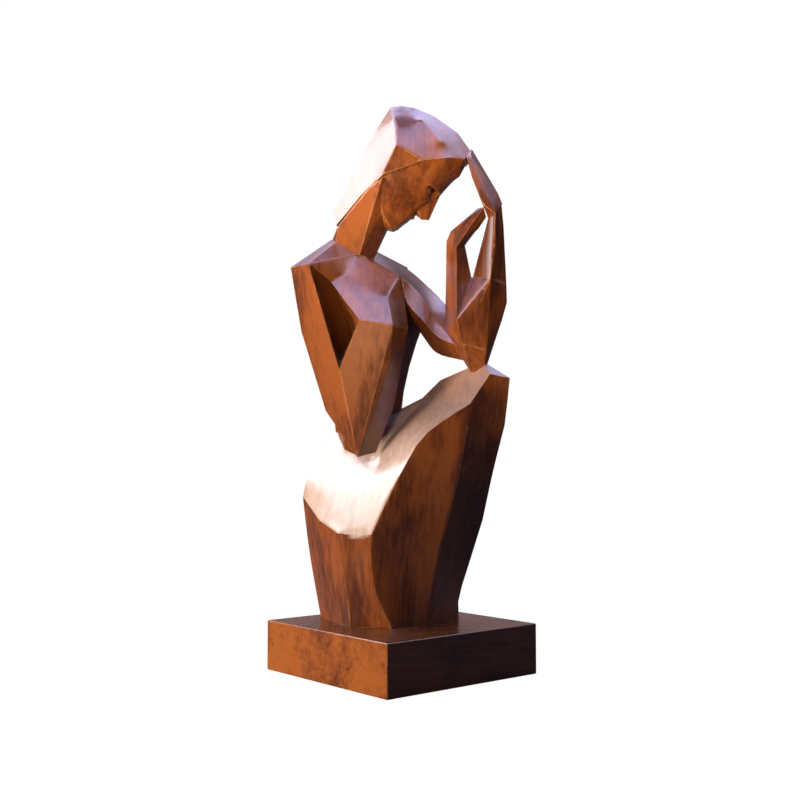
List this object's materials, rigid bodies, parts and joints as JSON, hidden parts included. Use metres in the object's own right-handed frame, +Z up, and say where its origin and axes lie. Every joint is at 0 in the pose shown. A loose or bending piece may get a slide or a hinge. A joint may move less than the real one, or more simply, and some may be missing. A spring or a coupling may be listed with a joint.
{
  "type": "wooden humanoid sculpture",
  "caption": "Faceted stained wood figure, seated with one knee raised and the head bowed to one hand, standing on a square wooden plinth.",
  "frame": {"origin": "middle of the plinth's underside", "axes": "+Z up, the figure faces -Y, its right side is towards -X"},
  "size_m": [0.232, 0.232, 0.7055],
  "materials": {
    "figure_wood": "stained red-brown and lacquered, brushed streaks, worn pale along the arrises",
    "plinth_wood": "stained orange-brown and lacquered, mottled, worn along the edges"
  },
  "bodies": {
    "root": {"figure": "figure_wood", "plinth": "plinth_wood"}
  },
  "joints": []
}
